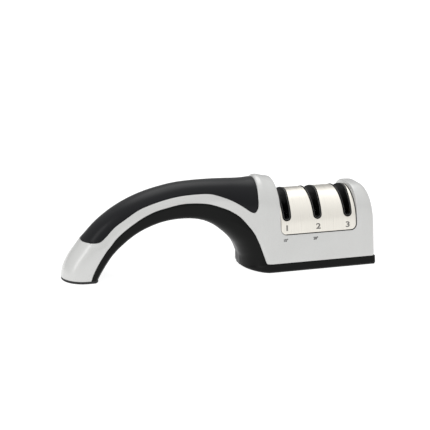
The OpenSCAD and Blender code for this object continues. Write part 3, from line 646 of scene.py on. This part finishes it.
def plate_heights():
    """Heights of the plate's rows, closer together at the edge, at the slots' bottoms and over the deck."""
    arc = [PLATE_B + PLATE_CORNER * (1 - math.cos(math.radians(a))) for a in range(0, 91, 9)]
    first = [PLATE_B + e for e in EDGE_STEPS]
    rest = [z for z in arc if z > first[-1] + 0.1]
    below = [SLOT_FLOOR - e for e in (3, 1.5, 0.7, 0.4, 0.24, 0.12, 0.05, 0)]
    ball = [SLOT_FLOOR + SLOT_R * (1 - math.cos(math.radians(a))) for a in range(6, 91, 6)]
    centre = DECK - DECK_R
    start = math.acos((ball[-1] - centre) / DECK_R)
    dome = [centre + DECK_R * math.cos(start * (1 - k / 30)) for k in range(1, 31)]
    return sorted(first + rest + below + ball + dome)


def columns(a, b, count):
    """Places of count + 10 columns from a to b, closer together at both ends."""
    near = [min(step, (b - a) * share) for step, share in zip(EDGE_STEPS, STEP_SHARES)]
    inner_part = list(np.linspace(a + near[-1], b - near[-1], count + 2))
    return [a + e for e in near[:-1]] + inner_part + [b - e for e in reversed(near[:-1])]


# Columns in the middle of each strip, and the last column of each
STRIP_COLUMNS = (3, 10, 10, 5)
STRIP_ENDS = np.cumsum([count + 10 for count in STRIP_COLUMNS]) - 1


def plate_row(z):
    """Places of the columns at height z, in the four strips between and beside the slots."""
    draw = plate_side(z)
    edges = [x + side * slot_side(side, z) for x in SLOT_X for side in (-1, 1)]
    cuts = [PLATE_L + draw] + edges + [PLATE_R - draw]
    row = []
    for k, count in enumerate(STRIP_COLUMNS):
        row += columns(cuts[2 * k], cuts[2 * k + 1], count)
    return row


PLATE_Z = plate_heights()


def plate_grid(inset, edge):
    """Points of one skin of the plate, front and back, with edges rounded by the given radius."""
    rows = []
    for z in PLATE_Z:
        row = []
        for x in plate_row(z):
            gap = min(to_slot(x, z), to_outline(x, z))
            y, h = saddle(z, inset + (float(rounded(gap, edge)) if edge else 0))
            row.append((x, y, h))
        rows.append(row)
    back = [[(x, -y, h) for x, y, h in row] for row in reversed(rows[:-1])]
    return rows + back


def plate_cell(i, j):
    """Whether a cell of the plate is there: a slot is open, and of no width below its bottom."""
    if j not in STRIP_ENDS:
        return 1
    k = min(i, 2 * len(PLATE_Z) - 3 - i)
    return 2 if PLATE_Z[k + 1] <= SLOT_FLOOR else 0


plate_top, plate_under = plate_grid(PLATE_INSET, PLATE_EDGE), plate_grid(PLATE_INSET + PLATE_THICK, 0)
plate = shell_mesh("deck_sheet", plate_top, plate_under, steel, plate_cell, angle=40)
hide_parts("deck_plate")

# Dark gasket under the lower and right edges of the plate, which shows in the gap there: a dark sheet
# that paints the shade of the gap, and stands also for the black part under the plate. Its section:
# distances into the pocket and depths, over the top and underneath.
SHADE_GASKET_TOP = ((0.14, 0.42), (0.14, 1.02), (2.2, 1.02))
SHADE_GASKET_UNDER = ((0.04, 0.42), (0.04, 1.26), (2.2, 1.26))


def shade_gasket_path():
    """Points of the pocket's outline as X and Z, with the direction into the pocket."""
    left, right, base, r = POCKET_LEFT, POCKET_RIGHT, POCKET_BASE, POCKET_CORNER
    heights = [z for z in PLATE_Z if z > base + r]
    turns = [math.radians(a) for a in range(0, 91, 15)]
    path = [(left + r, base, 0, 1)]
    for t in reversed(turns):
        path.append((right - r + r * math.cos(t), base + r - r * math.sin(t), -math.cos(t), math.sin(t)))
    return path + [(right, z, -1, 0) for z in heights]


def shade_gasket_grid(section, side):
    """Rows along the pocket's outline of points at (distance into the pocket, depth)."""
    rows = []
    for x, z, across, along in shade_gasket_path():
        row = [(x + across * e, *saddle(z + along * e, inset)) for e, inset in section]
        rows.append([(px, py * side, pz) for px, py, pz in row])
    return rows


for side, name in ((1, "front"), (-1, "rear")):
    top, under = shade_gasket_grid(SHADE_GASKET_TOP, side), shade_gasket_grid(SHADE_GASKET_UNDER, side)
    gap_shade_sheet = shell_mesh(f"plate_shade_gasket_{name}", top, under, inner)

# Marks on the front: numerals on the plate, and angles on the silver under it


def mark(name, text, x, z, size, wide, inset, height, edge, bold, material, slot):
    """Text laid on the drafted front, stretched in width, with a height, a bevelled edge and extra boldness."""
    curve = bpy.data.curves.new(name + "_outline", "FONT")
    curve.body, curve.size, curve.align_x, curve.align_y = text, size, "CENTER", "CENTER"
    curve.extrude, curve.bevel_depth, curve.bevel_resolution, curve.offset = height, edge, 2, bold
    temp = bpy.data.objects.new(name + "_outline", curve)
    bpy.context.scene.collection.objects.link(temp)
    flat = bpy.data.meshes.new_from_object(temp.evaluated_get(bpy.context.evaluated_depsgraph_get()))
    verts = []
    for v in flat.vertices:
        y, h = saddle(z + v.co.y * math.cos(LEAN), inset - v.co.z)
        verts.append((x + v.co.x * wide, y, h))
    faces = [tuple(f.vertices) for f in flat.polygons]
    bpy.data.objects.remove(temp)
    ob = add_mesh(name, verts, faces, material, angle=50)


NUMERAL = {"size": 5.8, "wide": 1.3, "inset": PLATE_INSET, "height": 0.12, "edge": 0.1, "bold": 0.05}
ANGLE = {"size": 2.7, "wide": 1, "inset": 0.0, "height": 0.02, "edge": 0.0, "bold": 0.12}
for text, x, z in (("1", 47.0, 32.2), ("2", 71.7, 32.0), ("3", 95.2, 31.6)):
    mark(f"numeral_{text}", text, x, z, **NUMERAL, material=numeral, slot="deck_steel")
for text, x, z in (("15°", 45.7, 23.4), ("20°", 69.4, 23.3)):
    mark("angle_" + text[:2], text, x, z, **ANGLE, material=ink, slot="inner_plastic")

# Pads. Heights and insets of the rows that round their lower edge:
PAD_ROUNDING = ((0.3, 0), (0.12, 0.05), (0.03, 0.15), (0, 0.3))


def pad_mesh(name, outline, node, top):
    """A flat pad up to the given height, with its lower edge rounded."""
    outline = np.array(outline)
    along = np.roll(outline, -1, axis=0) - np.roll(outline, 1, axis=0)
    outward = np.stack([along[:, 1], -along[:, 0]], axis=1)
    outward /= np.maximum(np.linalg.norm(outward, axis=1), 1e-9)[:, None]
    outward *= np.sign(((outline - outline.mean(axis=0)) * outward).sum())
    verts = []
    for z, inset in ((top, 0), *PAD_ROUNDING):
        verts += [(x, y, z) for x, y in outline - outward * inset]
    n, last = len(outline), len(PAD_ROUNDING)
    faces = [
        (i * n + j, i * n + (j + 1) % n, (i + 1) * n + (j + 1) % n, (i + 1) * n + j)
        for i in range(last) for j in range(n)
    ]
    faces += [tuple(range(n)), tuple(range(last * n, (last + 1) * n))]
    ob = add_mesh(name, verts, faces, pad)
    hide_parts(node)


def loop_of(edge, extra=()):
    """A closed outline from its front half, any points on the centre line and the mirrored half."""
    edge = [(float(x), float(y)) for x, y in edge]
    return edge + list(extra) + [(x, -y) for x, y in reversed(edge)]


base_edge = []
for s in SECTIONS:
    if s.a[0] > 0 and s.a[1] < FLOOR_Z + 0.01:
        p = s.points([s.arch], PAD_INSET, PAD_INSET if s.share else 0, 0, SKIRT_CORNER)[0]
        base_edge.append(p[:2])
pad_mesh("head_pad", loop_of(base_edge), "base_pad", FLOOR_Z)

foot = SECTIONS[0]
runs = FOOT_INSET + (foot.arch - 2 * FOOT_INSET) * (1 - np.cos(np.linspace(0, math.pi, 40)))[::-1] / 2
tip_edge = foot.points(runs, FOOT_INSET)[:, :2]
pad_mesh("foot_pad", loop_of(tip_edge[:-1], [(float(foot.t[0] + FOOT_INSET), 0.0)]), "tip_pad", FOOT_Z)

# Carrier springs: coils with closed ends


def tube(name, path, radius, material, sides=12):
    """A round tube along a path."""
    path = np.array(path)
    tangent = np.gradient(path, axis=0)
    tangent /= np.linalg.norm(tangent, axis=1)[:, None]
    across = np.cross(tangent, [0, 0, 1.0])
    across /= np.linalg.norm(across, axis=1)[:, None]
    up = np.cross(across, tangent)
    verts, faces = [], []
    for p, a, u in zip(path, across, up):
        for k in range(sides):
            w = 2 * math.pi * k / sides
            verts.append(p + radius * (a * math.cos(w) + u * math.sin(w)))
    for i in range(len(path) - 1):
        for k in range(sides):
            j = (k + 1) % sides
            faces.append((i * sides + k, i * sides + j, (i + 1) * sides + j, (i + 1) * sides + k))
    faces += [tuple(range(sides)), tuple(range((len(path) - 1) * sides, len(path) * sides))]
    return add_mesh(name, verts, faces, material)


SPRING_LOW, SPRING_HIGH, SPRING_R, SPRING_WIRE = 6.5, 15.8, 3.95, 1.1
# Turns of a coil, and steps in each turn
COIL_TURNS, COIL_STEPS = 6, 36
# Turns at which the spring leaves its closed lower end and reaches its closed upper end
COIL_OPENS, COIL_CLOSES = 0.9, 5.1
# Rise of a closed turn, as a share of the wire
CLOSED_RISE = 0.2


def coil_path(x):
    """Centre line of the coil at X."""
    low, high = SPRING_LOW + SPRING_WIRE / 2, SPRING_HIGH - SPRING_WIRE / 2
    closed = CLOSED_RISE * SPRING_WIRE
    span = high - low - 2 * COIL_OPENS * closed
    path = []
    for k in range(COIL_TURNS * COIL_STEPS + 1):
        turn = k / COIL_STEPS
        share = min(max((turn - COIL_OPENS) / (COIL_CLOSES - COIL_OPENS), 0), 1)
        z = low + (min(turn, COIL_OPENS) + max(turn - COIL_CLOSES, 0)) * closed + span * share
        around = 2 * math.pi * turn
        path.append((x + SPRING_R * math.cos(around), SPRING_R * math.sin(around), z))
    return path


for i, x in enumerate(SLOT_X):
    coil = tube(f"coil_{i + 1}", coil_path(x), SPRING_WIRE / 2 - 0.02, wire)
    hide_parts(f"spring_{i + 1}")
    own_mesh(coil)

# Rounded inner edges of the guide block's lips: distance from the slot's edge, depth and radius
LIP_EDGE = 0.95
LIP_SINK = 0.12
LIP_R = 0.26


def lip_path(x):
    """Loop round the slot at X, up the front on both sides, over the deck and down the back."""
    r = SLOT_R - LIP_EDGE
    turns = [math.radians(a) for a in range(0, 91, 9)]
    arc = [(r * math.sin(t), SLOT_MIDDLE - r * math.cos(t)) for t in turns]
    centre = DECK - DECK_R
    start = math.acos((SLOT_MIDDLE - centre) / DECK_R)
    heights = [centre + DECK_R * math.cos(start * (1 - k / 24)) for k in range(1, 25)]
    front = []
    for side in (-1, 1):
        half = [(side * w, z) for w, z in arc] + [(side * (slot_side(side, z) - LIP_EDGE), z) for z in heights]
        front.append([(x + w, *saddle(z, LIP_SINK)) for w, z in half])
    left, right = front
    loop = left[::-1] + right[1:]
    rear = [(px, -py, pz) for px, py, pz in reversed(loop)]
    return loop + rear[1:]


for i, x in enumerate(SLOT_X):
    bead = tube(f"slot_lip_{i + 1}", lip_path(x), LIP_R, lip)

# Materials of the solids that stay, and rounded edges for the guide block
LOOKS = {"guide_block": guide, "hone_frame": chassis}
for name in ("frame_screws", "base_screws", "handle_screw"):
    LOOKS[name] = hardware
for i in (1, 2, 3):
    LOOKS[f"carrier_{i}"] = inner
    for end in ("front", "rear"):
        LOOKS[f"wheel_{i}_{end}"] = polishing if i == 3 else abrasive
        LOOKS[f"axle_{i}_{end}"] = hardware
for name, look in LOOKS.items():
    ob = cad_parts[name]
    if not ob.material_slots:
        ob.data.materials.append(look)
    for s in ob.material_slots:
        s.material = look

guide_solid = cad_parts["guide_block"]
weld = guide_solid.modifiers.new("weld", "WELD")
weld.merge_threshold = 0.01 * MM
edge = guide_solid.modifiers.new("edge", "BEVEL")
edge.width, edge.segments, edge.angle_limit = GUIDE_EDGE * MM, 3, math.radians(40)
edge.harden_normals = True

# Light from the left, floor, room and camera
LIGHT_AT = Vector((-0.95, -0.3, 0.46))
LIGHT_TO = Vector((-0.09, 0, 0.03))
light = bpy.data.lights.new("left_light", "AREA")
light.shape, light.size, light.size_y = "RECTANGLE", 0.2, 0.8
light.energy = 1.2
lamp = bpy.data.objects.new("left_light", light)
bpy.context.scene.collection.objects.link(lamp)
lamp.location = LIGHT_AT
lamp.rotation_euler = (LIGHT_TO - LIGHT_AT).to_track_quat("-Z", "Y").to_euler()

floor_mesh = bpy.data.meshes.new("floor")
floor_mesh.from_pydata([(-8, -4, 0), (8, -4, 0), (8, 14, 0), (-8, 14, 0)], [], [(0, 1, 2, 3)])
floor = bpy.data.objects.new("floor", floor_mesh)
bpy.context.scene.collection.objects.link(floor)
floor_look, nt, b = nodes_of("floor_look", (0.25, 0.25, 0.25), 0.9)
b.inputs["Emission Color"].default_value = (1, 1, 1, 1)
b.inputs["Emission Strength"].default_value = 0.9
floor_mesh.materials.append(floor_look)

world = bpy.data.worlds.new("studio")
bpy.context.scene.world = world
world.use_nodes = True
wt = world.node_tree
sky = wt.nodes["Background"]
sky.inputs["Color"].default_value = (1, 1, 1, 1)


def calc(operation, *values):
    """Output of a Math node with the given numbers and sockets."""
    n = wt.nodes.new("ShaderNodeMath")
    n.operation = operation
    for k, v in enumerate(values):
        if isinstance(v, (int, float)):
            n.inputs[k].default_value = v
        else:
            wt.links.new(v, n.inputs[k])
    return n.outputs[0]


# The room, which the surfaces reflect: a base glow that grows towards the top, a bright window above and
# behind, and a dimmer part low at the back. The camera sees plain white.
WINDOW_AHEAD, WINDOW_UP = 0.423, 0.906
WINDOW_SHARP, WINDOW_EDGE, WINDOW_GLOW = 12, -10.7, 1.3
BASE_GLOW, TOP_GLOW, LEAST_GLOW = 0.79, 0.39, 0.2
LOW_REACH, LOW_DIM = 1.4, -0.4
coord = wt.nodes.new("ShaderNodeTexCoord")
axes = wt.nodes.new("ShaderNodeSeparateXYZ")
wt.links.new(coord.outputs["Generated"], axes.inputs[0])
ahead, up = axes.outputs["Y"], axes.outputs["Z"]
window = calc("MULTIPLY_ADD", up, WINDOW_UP, calc("MULTIPLY", ahead, WINDOW_AHEAD))
window = calc("MINIMUM", calc("MAXIMUM", calc("MULTIPLY_ADD", window, WINDOW_SHARP, WINDOW_EDGE), 0), 1)
low_back = calc("MAXIMUM", calc("SUBTRACT", calc("MULTIPLY", ahead, LOW_REACH), up), 0)
glow = calc("MULTIPLY_ADD", calc("MULTIPLY", up, up), TOP_GLOW, BASE_GLOW)
glow = calc("MULTIPLY_ADD", window, WINDOW_GLOW, glow)
glow = calc("MAXIMUM", calc("MULTIPLY_ADD", low_back, LOW_DIM, glow), LEAST_GLOW)
seen = wt.nodes.new("ShaderNodeLightPath").outputs["Is Camera Ray"]
wt.links.new(calc("MAXIMUM", glow, seen), sky.inputs["Strength"])

# The camera as it was fitted to the photo
camera = bpy.data.cameras.new("camera")
camera.lens, camera.sensor_width, camera.sensor_fit = 77.61, 36, "HORIZONTAL"
camera.clip_start, camera.clip_end = 0.01, 50
view = bpy.data.objects.new("camera", camera)
bpy.context.scene.collection.objects.link(view)
view.location = (-0.17702, -0.64311, 0.23073)
view.rotation_euler = (math.radians(90 - 16.03), 0, math.radians(-15.29))
bpy.context.scene.camera = view
bpy.context.scene.view_settings.view_transform = "Standard"
